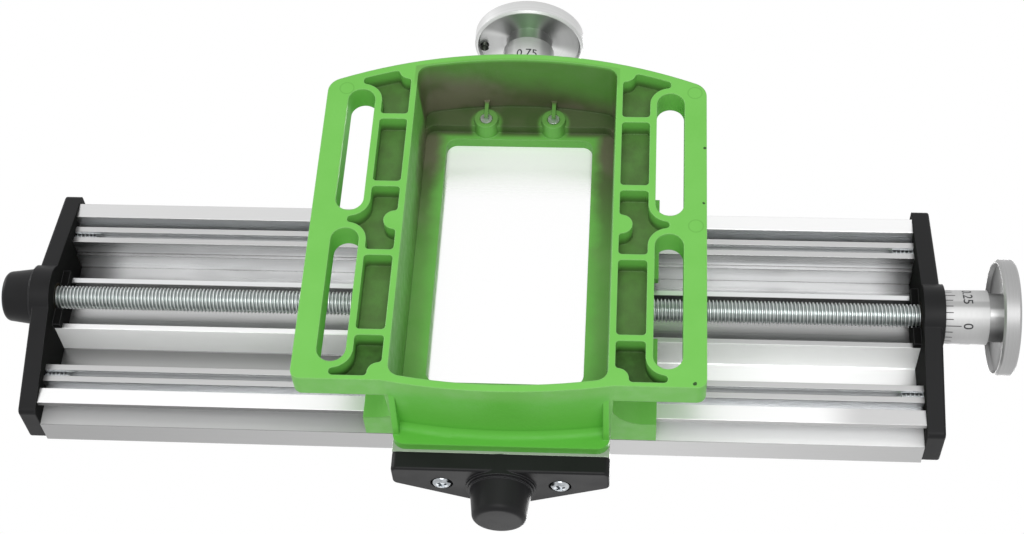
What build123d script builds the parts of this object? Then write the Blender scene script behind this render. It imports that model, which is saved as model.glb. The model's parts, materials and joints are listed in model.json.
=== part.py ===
from build123d import *
from math import asin, degrees, radians, sqrt, tan
import os

os.makedirs("parts", exist_ok=True)

# Cross slide table: a low two-axis work table with handwheels.
# Frame: +Z up, +X along the long table towards its handwheel, -Y towards the cross handwheel.
# The origin is the middle of the underside of the base. All sizes are in millimetres.

# Where the slides stand at rest, from the middle of the base
table_rest_x = -11.65
saddle_rest_y = 0.0

# Clearances
slide_gap = 0.15
side_gap = 0.2
running_gap = 0.1
shaft_gap = 0.05
seat_gap = 0.05

# Base casting
base_width = 125.0
base_front_y = 63.4
base_rear_y = -62.9
base_rear_radius = 157.0
base_front_bulge = 3.0
base_height = 31.5
base_top_wall = 4.0
base_wall = 2.0
base_end_wall = 2.4
box_half_width = 33.1
draft_angle = 2.3
ear_height = 9.0
ear_front_corner = 3.0
ear_rear_corner = 5.5
box_corner = 4.0
front_lip_overhang = 6.4
rear_lip_overhang = 3.1
lip_side_step = 0.05
lip_corner = 4.0
lip_cove = 2.6
lip_thickness = 3.3
lip_rib_width = 2.0
lip_rib_reach = 3.2
window_half_width = 24.9
window_half_length = 47.9
window_corner = 3.5
ledge_drop = 3.5
ledge_margin = 3.1

# Bolt slots of the base ears
slot_width = 9.0
slot_length = 48.8
slot_spacing = 101.7
slot_bridge = 6.8
slot_middle_y = 5.0

# Casting pockets beside the bolt slots
pocket_depth = 6.4
pocket_rib = 2.1
pocket_corner = 1.2
pocket_front_margin = 1.5
pocket_rib_places = (-36.2, -9.0, 17.4, 46.6)
pocket_boss_front_margin = 2.7
pocket_boss_rear_margin = 7.4
pocket_boss_radius = 3.5
pocket_boss_step = 0.7
slot_rim = 2.2

# Screws that hold the cross rail on the base
rail_screw_x = 11.5
rail_screw_margin = 4.8
rail_screw_front_margin = 7.2
rail_screw_diameter = 4.0
rail_screw_head = 7.2
rail_boss_diameter = 8.8
rail_boss_draft = 4.5
rail_boss_drop = 2.2
rail_boss_chamfer = 0.35
rail_boss_web = 1.3
rail_boss_web_flare = 1.5
rail_boss_web_drop = 3.6

# Cross rail, an aluminium extrusion along Y
rail_width = 67.5
rail_length = 147.4
rail_middle_y = -3.0
rail_height = 12.0
rail_floor = 4.0
rail_channel_wall = 1.4
rail_wall_drop = 0.5
rail_foot_thickness = 2.3
rail_foot_outer = 25.2
rail_flange_reach = 4.4
rail_flange_thickness = 2.2
rail_port_x = 18.5
rail_port_drop = 3.0

# Screw ports that take the end plate screws
port_wall = 1.1
port_slot = 2.3
plate_screw_diameter = 4.2

# Heights of the two leadscrews
cross_axis_drop = 1.2
long_axis_drop = 1.73

# Long table, an aluminium extrusion along X
table_length = 296.0
table_width = 90.0
table_height = 18.0
table_web = 2.3
table_slot_floor = 2.0
table_box_inner = 24.0
table_channel_half = 8.4
table_channel_wall = 2.0
table_channel_lip = 1.9
table_foot_setback = 8.6
table_foot_thickness = 1.2
table_foot_root = 1.5
table_foot_root_drop = 2.6
table_flange_reach = 4.4
table_flange_thickness = 2.0
table_port_y = 28.45
table_port_drop = 3.3
table_port_lip = 1.2
tslot_spacing = 35.0
tslot_opening = 12.0
tslot_head = 16.4
tslot_head_height = 5.2
tslot_lip = 3.0

# Saddle casting between the rail and the table
saddle_length = 96.6
saddle_side_wall = 4.2
saddle_rise = 17.0
saddle_wing = 3.0
saddle_core_wall = 4.0
saddle_cove = 11.0
saddle_hook_gap = 0.3
saddle_trough_half = 12.0
long_trough_clearance = 0.77
cross_trough_half = 6.0
cross_trough_clearance = 0.6

# Gib strips and their set screws
gib_thickness = 1.3
gib_screw_diameter = 3.0
gib_screw_spacing = 32.0
gib_screw_length = 3.6
gib_screw_socket = 1.5

# Leadscrews and their nuts
leadscrew_diameter = 8.0
journal_diameter = 6.0
journal_tail = 0.6
journal_setback = 0.4
nut_length = 30.0
nut_half_width = 6.0
nut_flange_half = 14.0
nut_flange_thickness = 3.4
nut_seat_distance = 5.3
nut_side_gap = 0.4
nut_floor_gap = 0.8
nut_screw_edge = 3.6
nut_screw_diameter = 3.0
nut_screw_head = 5.6
nut_screw_web = 1.27

# End plates, bushes and end caps
plate_thickness = 6.0
long_plate_inset = 0.3
long_plate_shoulder = 0.3
long_plate_taper = 14.0
cross_plate_overhang = 0.15
cross_plate_side = 9.7
cross_plate_taper = 23.5
plate_corner = 2.0
plate_edge_round = 0.8
plate_boss_radius = 11.0
cross_plate_crown = 12.5
cap_boss_height = 0.9
dial_boss_height = 1.0
inner_boss_depth = 2.6
bush_diameter = 10.0
plate_screw_head = 6.2
plate_screw_head_height = 2.4
plate_counterbore_diameter = 7.2
plate_counterbore_depth = 1.6
plate_screw_grip = 9.0
cap_radius = 9.7
cap_taper = 1.3
cap_length = 10.7
cap_brim_radius = 10.3
cap_brim_height = 0.6
cap_wall = 1.6
cap_tip_round = 2.0

# Thrust washers and retaining nuts under the end caps
washer_diameter = 11.5
washer_thickness = 0.8
retaining_nut_flats = 10.0
retaining_nut_height = 4.5

# Dials and handwheels
dial_radius = 9.0
dial_flare = 0.2
dial_length = 14.6
wheel_radius = 19.7
wheel_rim_setback = 2.7
wheel_rim_width = 5.7
wheel_hub_radius = 8.2
wheel_dish_depth = 2.4
wheel_wall_depth = 1.4
wheel_wall_lean = 0.6
wheel_rim_land = 1.1
wheel_bevel = 0.7
wheel_lip = 2.1
wheel_dish_sag = 0.3
wheel_back_recess = 1.2
wheel_knob_hole_diameter = 3.3
wheel_knob_hole_inset = 3.3
cross_knob_hole_angle = 177.0
long_knob_hole_angle = 100.0
wheel_screw_diameter = 4.0
wheel_screw_head = 7.6
wheel_screw_head_height = 2.4
screw_head_round = 0.8
wheel_screw_length = 9.0
wheel_washer_diameter = 12.0

# Sizes that follow from the sizes above
lip_reach = base_front_y + front_lip_overhang
rear_lip_reach = rear_lip_overhang - base_rear_y
lip_half_width = rail_width / 2 - lip_side_step
ledge_edge_y = window_half_length + ledge_margin
rail_screw_front_y = window_half_length + rail_screw_front_margin
rail_screw_rear_y = -window_half_length - rail_screw_margin
rail_screw_places = [(-rail_screw_x, rail_screw_rear_y), (rail_screw_x, rail_screw_rear_y),
                     (-rail_screw_x, rail_screw_front_y), (rail_screw_x, rail_screw_front_y)]
rail_channel_half = nut_half_width + nut_side_gap
rail_wall_height = rail_height - rail_wall_drop
rail_foot_inner = rail_foot_outer - rail_foot_thickness
rail_flange_outer = rail_foot_outer + rail_flange_reach
rail_port_height = rail_height - rail_port_drop
cross_axis_rise = rail_height - cross_axis_drop
table_band_bottom = table_height - tslot_lip - tslot_head_height - table_slot_floor
table_foot_groove = table_width / 2 - table_foot_setback
table_foot_inner = table_foot_groove - table_foot_thickness
table_foot_root_inner = table_foot_inner - table_foot_root
table_foot_root_height = table_band_bottom - table_foot_root_drop
table_flange_outer = table_foot_groove + table_flange_reach
table_port_height = table_band_bottom - table_port_drop
saddle_width = 2 * (table_flange_outer + saddle_side_wall)
saddle_core_half = rail_flange_outer + saddle_core_wall
saddle_hook_height = table_band_bottom - saddle_hook_gap
gib_recess = gib_thickness + 2 * slide_gap
nut_reach = cross_axis_rise - rail_floor - nut_floor_gap
nut_screw_offset = nut_flange_half - nut_screw_edge
long_plate_half_width = table_width / 2 - long_plate_inset
cross_plate_half_width = rail_width / 2 + cross_plate_overhang
cap_tip_radius = cap_radius - cap_taper
wheel_dish_rim = wheel_radius - wheel_rim_land
wheel_dish_radius = wheel_dish_rim - wheel_wall_lean
wheel_knob_hole_radius = wheel_radius - wheel_knob_hole_inset

# Places that follow from the sizes above
rail_top = base_height + rail_height
table_base = rail_top + saddle_rise
cross_axis_z = base_height + cross_axis_rise
long_axis_z = table_base - long_axis_drop
rail_front_y = rail_middle_y + rail_length / 2
rail_back_y = rail_middle_y - rail_length / 2
table_left_x = table_rest_x - table_length / 2
table_right_x = table_rest_x + table_length / 2
saddle_top = table_base - running_gap
saddle_underwing = saddle_top - saddle_wing
screw_radius = leadscrew_diameter / 2
journal_radius = journal_diameter / 2
port_radius = plate_screw_diameter / 2 + seat_gap
window_underside = base_height - base_top_wall
lip_underside = base_height - lip_thickness
ledge_z = window_underside - ledge_drop

# Planes of the profiles and of the turned pieces
rail_profile = Plane((0, rail_front_y, base_height), x_dir=(1, 0, 0), z_dir=(0, -1, 0))
table_profile = Plane((table_left_x, saddle_rest_y, table_base), x_dir=(0, 1, 0), z_dir=(1, 0, 0))
left_end = Plane((table_left_x, saddle_rest_y, table_base), x_dir=(0, -1, 0), z_dir=(-1, 0, 0))
right_end = Plane((table_right_x, saddle_rest_y, table_base), x_dir=(0, 1, 0), z_dir=(1, 0, 0))
front_end = Plane((0, rail_front_y, base_height), x_dir=(-1, 0, 0), z_dir=(0, 1, 0))
back_end = Plane((0, rail_back_y, base_height), x_dir=(1, 0, 0), z_dir=(0, -1, 0))


def bar(left, bottom, right, top, mode=Mode.ADD):
    """A rectangle of the active sketch, by two corners."""
    with Locations(((left + right) / 2, (bottom + top) / 2)):
        Rectangle(right - left, top - bottom, mode=mode)


def axis_plane(end_plane, axis_height, outward=0.0):
    """The plane across a leadscrew axis, a distance outside an end of the rail or table."""
    origin = end_plane.from_local_coords((0, axis_height, outward))
    return Plane(origin, x_dir=end_plane.x_dir, z_dir=end_plane.z_dir)


def turning_plane(across):
    """The plane that holds a leadscrew axis: x is the radius and y runs outward."""
    return Plane(across.origin, x_dir=(0, 0, 1), z_dir=Vector(0, 0, 1).cross(across.z_dir))


def spin(profile_plane):
    """Turn the pending profile about the y direction of its own plane."""
    revolve(axis=Axis(profile_plane.origin, profile_plane.y_dir))


def ring(across, outer_radius, bore_radius, height):
    """A plain ring: a bush, a washer or a spacer."""
    with BuildPart() as piece:
        with BuildSketch(across):
            Circle(outer_radius)
            Circle(bore_radius, mode=Mode.SUBTRACT)
        extrude(amount=height)
    return piece


def leadscrew(across_near, across_far, tail_length, drive_length):
    """Threaded bar between the end plates, with a turned journal at each end."""
    span = (across_near.origin - across_far.origin).length
    with BuildPart() as piece:
        with BuildSketch(across_near.offset(-running_gap)):
            Circle(screw_radius)
        extrude(amount=-(span - 2 * running_gap))
        with BuildSketch(across_near):
            Circle(journal_radius)
        extrude(amount=tail_length)
        with BuildSketch(across_near):
            Circle(journal_radius)
        extrude(amount=-running_gap)
        with BuildSketch(across_far):
            Circle(journal_radius)
        extrude(amount=drive_length)
        with BuildSketch(across_far):
            Circle(journal_radius)
        extrude(amount=-running_gap)
        with BuildSketch(across_far.offset(drive_length)):
            Circle(wheel_screw_diameter / 2 + seat_gap)
        extrude(amount=-wheel_screw_length, mode=Mode.SUBTRACT)
    return piece


def retaining_nut(across):
    """Hexagon nut on the tail journal, under the end cap."""
    with BuildPart() as piece:
        with BuildSketch(across):
            RegularPolygon(retaining_nut_flats / 2, 6, major_radius=False)
            Circle(journal_radius + seat_gap, mode=Mode.SUBTRACT)
        extrude(amount=retaining_nut_height)
    return piece


def dial(across):
    """Dial sleeve that turns with the handwheel, a little wider at the wheel."""
    profile = turning_plane(across)
    bore = journal_radius + seat_gap
    with BuildPart() as piece:
        with BuildSketch(profile):
            with BuildLine():
                Polyline((bore, 0), (dial_radius, 0), (dial_radius + dial_flare, dial_length),
                         (bore, dial_length), close=True)
            make_face()
        spin(profile)
    return piece


def handwheel(across, hole_angle):
    """Turned handwheel with a dished near face and a small tapped hole in its rim."""
    profile = turning_plane(across)
    bore = journal_radius + seat_gap
    near = wheel_rim_setback
    far = wheel_rim_setback + wheel_rim_width
    dish_floor = near + wheel_dish_depth
    wall_foot = near + wheel_wall_depth
    middle_radius = (wheel_dish_radius + wheel_hub_radius) / 2
    middle_floor = (wall_foot + dish_floor) / 2 + wheel_dish_sag
    recess_floor = far - wheel_back_recess
    recess_rim = wheel_radius - wheel_lip
    with BuildPart() as piece:
        with BuildSketch(profile):
            with BuildLine():
                Polyline((wheel_dish_radius, wall_foot), (wheel_dish_rim, near),
                         (wheel_radius - wheel_bevel, near),
                         (wheel_radius, near + wheel_bevel), (wheel_radius, far - wheel_bevel),
                         (wheel_radius - wheel_bevel, far), (recess_rim, far),
                         (recess_rim - wheel_bevel, recess_floor),
                         (wheel_hub_radius + wheel_bevel, recess_floor),
                         (wheel_hub_radius, far), (bore, far), (bore, 0),
                         (wheel_hub_radius, 0), (wheel_hub_radius, dish_floor))
                ThreePointArc((wheel_hub_radius, dish_floor), (middle_radius, middle_floor),
                              (wheel_dish_radius, wall_foot))
            make_face()
        spin(profile)
        with BuildSketch(across):
            with PolarLocations(wheel_knob_hole_radius, 1, start_angle=hole_angle):
                Circle(wheel_knob_hole_diameter / 2)
        extrude(amount=far, mode=Mode.SUBTRACT)
    return piece


def wheel_screw(across):
    """Pan head screw that holds a handwheel on the end of its leadscrew."""
    with BuildPart() as piece:
        with BuildSketch(across):
            Circle(wheel_screw_head / 2)
        extrude(amount=wheel_screw_head_height)
        rim = piece.faces().sort_by(Axis(across.origin, across.z_dir))[-1].edges()
        fillet(rim, screw_head_round)
        with BuildSketch(across):
            Circle(wheel_screw_diameter / 2)
        extrude(amount=-(wheel_screw_length - seat_gap))
    return piece


def end_cap(across):
    """Moulded cap over the retaining nut, hollow inside."""
    profile = turning_plane(across)
    inner = cap_radius - cap_wall
    inner_tip = cap_tip_radius - cap_wall
    with BuildPart() as piece:
        with BuildSketch(profile) as half_section:
            with BuildLine():
                Polyline((inner, 0), (cap_brim_radius, 0), (cap_brim_radius, cap_brim_height),
                         (cap_radius, cap_brim_height), (cap_tip_radius, cap_length), (0, cap_length),
                         (0, cap_length - cap_wall), (inner_tip, cap_length - cap_wall), close=True)
            make_face()
            tip = half_section.vertices().sort_by(lambda corner: corner.X + corner.Y)[-1]
            fillet(tip, cap_tip_round)
        spin(profile)
    return piece


def plate_screws(end_plane, places):
    """The self-tapping screws of one end plate."""
    seat = plate_thickness - plate_counterbore_depth
    with BuildPart() as group:
        with BuildSketch(end_plane.offset(seat)):
            with Locations(*places):
                Circle(plate_screw_head / 2)
        extrude(amount=plate_screw_head_height)
        heads = group.faces().group_by(Axis(end_plane.origin, end_plane.z_dir))[-1].edges()
        fillet(heads, screw_head_round)
        with BuildSketch(end_plane.offset(seat)):
            with Locations(*places):
                Circle(plate_screw_diameter / 2)
        extrude(amount=-(seat + plate_screw_grip))
    return group


def end_plate(end_plane, axis_height, outline, crown_radius, boss_height, places, inner_blocks):
    """Moulded end plate with a round boss for the leadscrew bush."""
    with BuildPart() as piece:
        with BuildSketch(end_plane) as face:
            Polygon(*outline, align=None)
            fillet(face.vertices().sort_by(lambda corner: abs(corner.X))[0], crown_radius)
            fillet(face.vertices().filter_by(lambda corner: abs(corner.X) > crown_radius), plate_corner)
        extrude(amount=plate_thickness)
        outer_face = piece.faces().sort_by(Axis(end_plane.origin, end_plane.z_dir))[-1]
        fillet(outer_face.edges(), plate_edge_round)
        with BuildSketch(end_plane):
            with Locations((0, axis_height)):
                Circle(plate_boss_radius)
        extrude(amount=plate_thickness + boss_height)
        with BuildSketch(end_plane):
            for block in inner_blocks:
                bar(*block)
            with Locations((0, axis_height)):
                Circle(plate_boss_radius, mode=Mode.INTERSECT)
                Circle(screw_radius + 2 * side_gap, mode=Mode.SUBTRACT)
        extrude(amount=-inner_boss_depth)
        with BuildSketch(end_plane):
            with Locations((0, axis_height)):
                Circle(bush_diameter / 2 + seat_gap)
        extrude(amount=plate_thickness + boss_height, mode=Mode.SUBTRACT)
        with BuildSketch(end_plane):
            with Locations(*places):
                Circle(plate_screw_diameter / 2 + seat_gap)
        extrude(amount=plate_thickness, mode=Mode.SUBTRACT)
        with BuildSketch(end_plane.offset(plate_thickness)):
            with Locations(*places):
                Circle(plate_counterbore_diameter / 2)
        extrude(amount=-plate_counterbore_depth, mode=Mode.SUBTRACT)
    return piece


# Base casting: two slotted ears on a deep box with a window in its top
box_outer_half = box_half_width + base_wall
rear_centre_y = base_rear_y + base_rear_radius
front_radius = (box_outer_half ** 2 + base_front_bulge ** 2) / (2 * base_front_bulge)
front_centre_y = base_front_y + base_front_bulge - front_radius
side_rear_y = rear_centre_y - sqrt(base_rear_radius ** 2 - (base_width / 2) ** 2)
cavity_front_y = base_front_y - base_end_wall
inner_rear_reach = -base_rear_y - base_end_wall
ledge_draft = ledge_z * tan(radians(draft_angle))
boss_end_z = ledge_z - rail_boss_drop
slot_row_step = slot_length + slot_bridge
pocket_outer_x = slot_spacing / 2
pocket_boss_places = (base_rear_y + pocket_boss_rear_margin, slot_middle_y,
                      base_front_y - pocket_boss_front_margin)


def box_outline(half_width, front_y, rear_shift):
    """Plan of the box: straight sides, a bulging front and an arched rear."""
    rear_y = base_rear_y + rear_shift
    rear_radius = base_rear_radius - rear_shift
    rear_side_y = rear_centre_y - sqrt(rear_radius ** 2 - half_width ** 2)
    with BuildSketch() as outline:
        with BuildLine():
            ThreePointArc((-half_width, rear_side_y), (0, rear_y), (half_width, rear_side_y))
            Line((half_width, rear_side_y), (half_width, front_y))
            ThreePointArc((half_width, front_y), (0, front_y + base_front_bulge), (-half_width, front_y))
            Line((-half_width, front_y), (-half_width, rear_side_y))
        make_face()
    return outline.sketch


with BuildPart() as base_casting:
    with BuildSketch() as ear_outline:
        with BuildLine():
            Polyline((base_width / 2, side_rear_y), (base_width / 2, base_front_y),
                     (-base_width / 2, base_front_y), (-base_width / 2, side_rear_y))
            ThreePointArc((-base_width / 2, side_rear_y), (0, base_rear_y), (base_width / 2, side_rear_y))
        make_face()
        fillet(ear_outline.vertices().group_by(Axis.Y)[-1], ear_front_corner)
        fillet(ear_outline.vertices().group_by(Axis.Y)[0], ear_rear_corner)
    extrude(amount=ear_height)
    with BuildSketch():
        add(box_outline(box_outer_half, base_front_y, 0))
    extrude(amount=base_height, taper=draft_angle)
    with BuildSketch(Plane.XY.offset(lip_underside)) as lip_outline:
        bar(-lip_half_width, -rear_lip_reach, lip_half_width, lip_reach)
        fillet(lip_outline.vertices(), lip_corner)
    extrude(amount=lip_thickness)
    arches = ((front_centre_y, 1, front_radius), (rear_centre_y, -1, base_rear_radius))
    for arch_y, facing, arch_radius in arches:
        wall_radius = arch_radius - lip_underside * tan(radians(draft_angle))
        cove_angle = degrees(asin((lip_half_width - running_gap) / (wall_radius + lip_cove)))
        radial = Vector(0, facing, 0).rotate(Axis.Z, -cove_angle)
        across_wall = Plane((0, arch_y, lip_underside), x_dir=radial, z_dir=radial.cross(Vector(0, 0, 1)))
        with BuildSketch(across_wall):
            bar(wall_radius - base_wall / 2, -lip_cove, wall_radius + lip_cove, 0)
            with Locations((wall_radius + lip_cove, -lip_cove)):
                Circle(lip_cove, mode=Mode.SUBTRACT)
        revolve(axis=Axis((0, arch_y, 0), (0, 0, 1)), revolution_arc=2 * cove_angle)
    for rib_x in (running_gap - lip_half_width, lip_half_width - running_gap - lip_rib_width):
        with BuildSketch(Plane((rib_x, 0, 0), x_dir=(0, 1, 0), z_dir=(1, 0, 0))):
            Polygon((cavity_front_y, ear_height), (base_front_y, ear_height),
                    (base_front_y + lip_rib_reach, lip_underside),
                    (base_front_y + lip_rib_reach, base_height - lip_thickness / 2),
                    (cavity_front_y, base_height - lip_thickness / 2), align=None)
        extrude(amount=lip_rib_width)
    with BuildSketch() as cavity_outline:
        add(box_outline(box_half_width, cavity_front_y, base_end_wall))
        fillet(cavity_outline.vertices(), box_corner)
    extrude(amount=ledge_z, taper=draft_angle, mode=Mode.SUBTRACT)
    cavity_top_half = box_half_width - ledge_draft
    with BuildSketch(Plane.XY.offset(ledge_z)) as flange_outline:
        Rectangle(2 * cavity_top_half, 2 * ledge_edge_y)
        fillet(flange_outline.vertices(), window_corner)
    extrude(amount=ledge_drop, mode=Mode.SUBTRACT)
    with BuildSketch(Plane.XY.offset(window_underside)):
        with Locations(*rail_screw_places):
            Circle(rail_boss_diameter / 2)
    extrude(amount=-(window_underside - boss_end_z), taper=rail_boss_draft)
    for wall_y, screw_y in ((cavity_front_y + base_front_bulge - ledge_draft, rail_screw_front_y),
                            (ledge_draft - inner_rear_reach, rail_screw_rear_y)):
        facing = 1 if wall_y > 0 else -1
        narrow_y = wall_y - facing * rail_boss_web_flare
        rooted_y = wall_y + facing * base_end_wall / 3
        with BuildSketch(Plane.XY.offset(ledge_z - rail_boss_web_drop)):
            for boss_x in (-rail_screw_x, rail_screw_x):
                bar(boss_x - rail_boss_web / 2, min(rooted_y, screw_y),
                    boss_x + rail_boss_web / 2, max(rooted_y, screw_y))
                Polygon((boss_x - rail_boss_web / 2, narrow_y), (boss_x + rail_boss_web / 2, narrow_y),
                        (boss_x + rail_boss_web_flare, rooted_y), (boss_x - rail_boss_web_flare, rooted_y),
                        align=None)
        extrude(amount=rail_boss_web_drop)
    with BuildSketch(Plane.XY.offset(boss_end_z)):
        with Locations(*rail_screw_places):
            Circle(rail_screw_diameter / 2 + seat_gap)
    extrude(amount=base_height - boss_end_z, mode=Mode.SUBTRACT)
    with BuildSketch(Plane.XY.offset(boss_end_z)):
        with Locations(*rail_screw_places):
            Circle(rail_screw_diameter / 2 + seat_gap + rail_boss_chamfer)
    extrude(amount=rail_boss_chamfer, taper=45, mode=Mode.SUBTRACT)
    with BuildSketch(Plane.XY.offset(window_underside)) as window_outline:
        Rectangle(2 * window_half_width, 2 * window_half_length)
        fillet(window_outline.vertices(), window_corner)
    extrude(amount=base_top_wall, mode=Mode.SUBTRACT)
    with BuildSketch():
        with Locations((0, slot_middle_y)):
            with GridLocations(slot_spacing, slot_row_step, 2, 2):
                SlotOverall(slot_length, slot_width, rotation=90)
    extrude(amount=ear_height, mode=Mode.SUBTRACT)
    with BuildSketch():
        bar(box_outer_half, base_rear_y, pocket_outer_x, base_front_y - pocket_front_margin)
        with Locations((0, rear_centre_y)):
            Circle(base_rear_radius - base_end_wall, mode=Mode.INTERSECT)
        with Locations((pocket_outer_x, slot_middle_y)):
            with GridLocations(1, slot_row_step, 1, 2):
                SlotOverall(slot_length + 2 * slot_rim, slot_width + 2 * slot_rim, rotation=90,
                            mode=Mode.SUBTRACT)
        for rib_y in pocket_rib_places:
            bar(box_outer_half, rib_y - pocket_rib / 2, pocket_outer_x, rib_y + pocket_rib / 2,
                mode=Mode.SUBTRACT)
        with Locations(*[(box_outer_half + pocket_boss_step, boss_y) for boss_y in pocket_boss_places]):
            Circle(pocket_boss_radius, mode=Mode.SUBTRACT)
        offset(amount=-pocket_corner, mode=Mode.REPLACE)
        offset(amount=pocket_corner, mode=Mode.REPLACE)
        mirror(about=Plane.YZ)
    extrude(amount=pocket_depth, mode=Mode.SUBTRACT)
base_casting.part.label = "base_casting"
export_step(base_casting.part, "parts/base_casting.step")

# Cross rail: floor, screw channel, screw ports and two flanged feet
with BuildPart() as y_rail:
    with BuildSketch(rail_profile):
        port_half = port_radius + port_wall
        flange_bottom = rail_height - rail_flange_thickness
        channel_outer = rail_channel_half + rail_channel_wall
        bar(0, 0, rail_width / 2, rail_floor)
        bar(rail_channel_half, rail_floor, channel_outer, rail_wall_height)
        bar(rail_port_x - port_half, rail_floor, rail_port_x + port_half, rail_wall_height)
        bar(rail_foot_inner, rail_floor, rail_foot_outer, rail_height)
        bar(rail_foot_inner, flange_bottom, rail_flange_outer, rail_height)
        with Locations((rail_port_x, rail_port_height)):
            Circle(port_radius, mode=Mode.SUBTRACT)
        bar(rail_port_x - port_slot / 2, rail_port_height, rail_port_x + port_slot / 2, rail_height,
            mode=Mode.SUBTRACT)
        mirror(about=Plane.YZ)
    extrude(amount=rail_length)
    with Locations((0, 0, base_height + rail_floor)):
        with Locations(*rail_screw_places):
            CounterSinkHole(rail_screw_diameter / 2 + seat_gap, rail_screw_head / 2 + seat_gap,
                            depth=rail_floor)
y_rail.part.label = "y_rail"
export_step(y_rail.part, "parts/y_rail.step")

# Countersunk screws from the rail floor down into the bosses of the base
with BuildPart() as rail_screws:
    head_cone = (rail_screw_head - rail_screw_diameter) / 2
    with Locations(*rail_screw_places):
        with Locations((0, 0, base_height + rail_floor - head_cone)):
            Cone(rail_screw_diameter / 2, rail_screw_head / 2, head_cone,
                 align=(Align.CENTER, Align.CENTER, Align.MIN))
        shank_end_z = boss_end_z + running_gap
        with Locations((0, 0, shank_end_z)):
            Cylinder(rail_screw_diameter / 2, base_height + rail_floor - head_cone - shank_end_z,
                     align=(Align.CENTER, Align.CENTER, Align.MIN))
rail_screws.part.label = "rail_screws"
export_step(rail_screws.part, "parts/rail_screws.step")

# End plates of the cross rail
cross_places = [(-rail_port_x, rail_port_height), (rail_port_x, rail_port_height)]
cross_apex = cross_plate_side + cross_plate_half_width * tan(radians(cross_plate_taper))
cross_outline = [(-cross_plate_half_width, 0), (cross_plate_half_width, 0),
                 (cross_plate_half_width, cross_plate_side), (0, cross_apex),
                 (-cross_plate_half_width, cross_plate_side)]
cross_inner_half = rail_channel_half - side_gap
cross_blocks = [(-cross_inner_half, rail_floor + side_gap, cross_inner_half, cross_axis_rise)]
y_front_plate = end_plate(front_end, cross_axis_rise, cross_outline, cross_plate_crown,
                          cap_boss_height, cross_places, cross_blocks)
y_front_plate.part.label = "y_front_plate"
export_step(y_front_plate.part, "parts/y_front_plate.step")
y_back_plate = end_plate(back_end, cross_axis_rise, cross_outline, cross_plate_crown,
                         dial_boss_height, cross_places, cross_blocks)
y_back_plate.part.label = "y_back_plate"
export_step(y_back_plate.part, "parts/y_back_plate.step")
y_front_plate_screws = plate_screws(front_end, cross_places)
y_front_plate_screws.part.label = "y_front_plate_screws"
export_step(y_front_plate_screws.part, "parts/y_front_plate_screws.step")
y_back_plate_screws = plate_screws(back_end, cross_places)
y_back_plate_screws.part.label = "y_back_plate_screws"
export_step(y_back_plate_screws.part, "parts/y_back_plate_screws.step")

# End plates of the long table, the same shape upside down
long_places = [(-table_port_y, table_port_height), (table_port_y, table_port_height)]
long_apex = long_plate_shoulder - long_plate_half_width * tan(radians(long_plate_taper))
long_outline = [(-long_plate_half_width, table_height), (long_plate_half_width, table_height),
                (long_plate_half_width, long_plate_shoulder), (0, long_apex),
                (-long_plate_half_width, long_plate_shoulder)]
long_inner_half = table_channel_half - side_gap
long_blocks = [(-long_inner_half, -long_axis_drop, long_inner_half, table_band_bottom - side_gap),
               (-plate_boss_radius, -long_axis_drop, plate_boss_radius, table_channel_lip - side_gap)]
x_left_plate = end_plate(left_end, -long_axis_drop, long_outline, plate_corner,
                         cap_boss_height, long_places, long_blocks)
x_left_plate.part.label = "x_left_plate"
export_step(x_left_plate.part, "parts/x_left_plate.step")
x_right_plate = end_plate(right_end, -long_axis_drop, long_outline, plate_corner,
                          dial_boss_height, long_places, long_blocks)
x_right_plate.part.label = "x_right_plate"
export_step(x_right_plate.part, "parts/x_right_plate.step")
x_left_plate_screws = plate_screws(left_end, long_places)
x_left_plate_screws.part.label = "x_left_plate_screws"
export_step(x_left_plate_screws.part, "parts/x_left_plate_screws.step")
x_right_plate_screws = plate_screws(right_end, long_places)
x_right_plate_screws.part.label = "x_right_plate_screws"
export_step(x_right_plate_screws.part, "parts/x_right_plate_screws.step")

# Long table: an extrusion with three T-slots on top and two flanged feet below
with BuildPart() as x_table:
    with BuildSketch(table_profile):
        port_half = port_radius + port_wall
        channel_outer = table_channel_half + table_channel_wall
        head_top = table_height - tslot_lip
        bar(0, table_height - table_web, table_width / 2, table_height)
        bar(0, table_band_bottom, channel_outer, table_height)
        bar(table_box_inner, table_band_bottom, table_width / 2, table_height)
        bar(table_channel_half, table_channel_lip, channel_outer, table_band_bottom)
        bar(table_port_y - port_half, table_port_lip, table_port_y + port_half, table_band_bottom)
        with BuildLine():
            Polyline((table_foot_inner, 0), (table_flange_outer, 0),
                     (table_flange_outer, table_flange_thickness),
                     (table_foot_groove, table_flange_thickness),
                     (table_foot_groove, table_band_bottom), (table_foot_root_inner, table_band_bottom),
                     (table_foot_root_inner, table_foot_root_height), close=True)
        make_face()
        with Locations((table_port_y, table_port_height)):
            Circle(port_radius, mode=Mode.SUBTRACT)
        bar(table_port_y - port_slot / 2, 0, table_port_y + port_slot / 2, table_port_height,
            mode=Mode.SUBTRACT)
        for slot_y in (0, tslot_spacing):
            bar(slot_y - tslot_head / 2, head_top - tslot_head_height, slot_y + tslot_head / 2,
                head_top, mode=Mode.SUBTRACT)
            bar(slot_y - tslot_opening / 2, head_top, slot_y + tslot_opening / 2, table_height,
                mode=Mode.SUBTRACT)
        mirror(about=Plane.YZ)
    extrude(amount=table_length)
x_table.part.label = "x_table"
export_step(x_table.part, "parts/x_table.step")

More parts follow.
